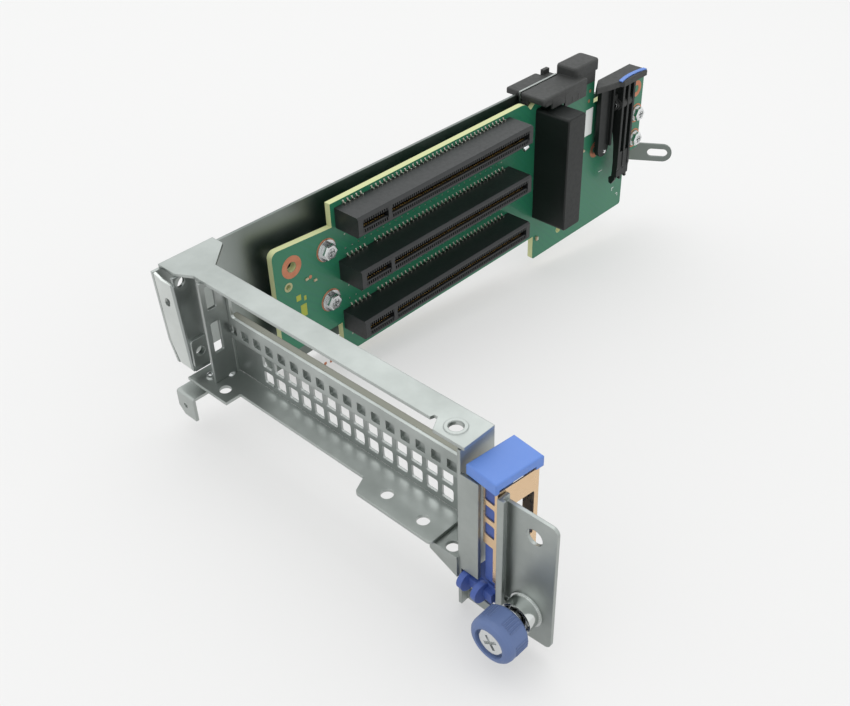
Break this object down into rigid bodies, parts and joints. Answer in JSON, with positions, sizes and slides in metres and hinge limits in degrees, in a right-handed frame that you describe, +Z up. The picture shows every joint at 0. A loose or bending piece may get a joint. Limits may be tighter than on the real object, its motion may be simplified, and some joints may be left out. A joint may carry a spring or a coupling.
{
  "type": "pcie riser card",
  "caption": "L-shaped riser card for servers: upright circuit board with stacked card slots on a folded steel wall, and a perforated arm with a card latch and a thumbscrew.",
  "frame": {"origin": "first contact of the lowest card slot, on the circuit board's front face, at the slot's centre line", "axes": "+X out along the arm, away from the board's front face; +Y along the board and the side wall, away from the arm; +Z up across the stacked slots"},
  "size_m": [0.1511, 0.268, 0.078],
  "materials": {
    "steel": "satin galvanised sheet",
    "bright_steel": "bright plated",
    "board_green": "green solder mask on glass fibre board",
    "slot_black": "moulded",
    "cover_black": "fine textured moulding",
    "latch_blue": "moulded",
    "copper_spring": "satin copper alloy",
    "contact_metal": "tinned",
    "chip_body": "ceramic body"
  },
  "bodies": {
    "frame": {"side_wall": "steel", "arm": "steel", "slot_filler": "steel", "rear_bracket": "steel", "corner_tab": "steel", "tongue_plate": "steel", "foot_clip": "steel", "end_bracket": "steel", "circuit_board": "board_green", "slot_1": "slot_black", "slot_2": "slot_black", "slot_3": "slot_black", "slot_leads": "contact_metal", "tall_connector": "slot_black", "board_washers": "bright_steel", "board_screws": "bright_steel", "board_spacers": "bright_steel", "board_chips": "chip_body", "latch_pin": "bright_steel", "thumb_ferrule": "bright_steel", "thumb_spring": "bright_steel", "edge_grip": "cover_black", "end_latch_base": "cover_black", "end_latch_pin": "bright_steel"},
    "latch": {"latch_bar": "latch_blue", "latch_spring": "copper_spring"},
    "thumb_slider": {"thumb_washer": "bright_steel"},
    "thumb_turner": {"thumb_screw": "bright_steel", "thumb_knob": "latch_blue"},
    "end_lever": {"end_latch": "cover_black", "end_stripe": "latch_blue"}
  },
  "joints": [
    {"name": "latch_swing", "type": "hinge", "parent": "frame", "child": "latch", "pos_m": [0.11216, -0.06062, 0.0036], "axis": [0.9936, -0.1132, 0], "range_deg": [0, 75]},
    {"name": "thumb_press", "type": "slide", "parent": "frame", "child": "thumb_slider", "axis": [0, 1, 0], "range_m": [0, 0.003], "stiffness_N_per_m": 400, "springref_m": -0.004, "deforming": ["thumb_spring"]},
    {"name": "thumb_spin", "type": "hinge", "parent": "thumb_slider", "child": "thumb_turner", "pos_m": [0.1301, -0.07, 0.0052], "axis": [0, 1, 0], "continuous": true},
    {"name": "end_lever_press", "type": "hinge", "parent": "frame", "child": "end_lever", "pos_m": [0.0046, 0.15, 0.0286], "axis": [0, 1, 0], "range_deg": [-6, 0], "stiffness_Nm_per_rad": 0.1, "springref_deg": 5.73}
  ]
}
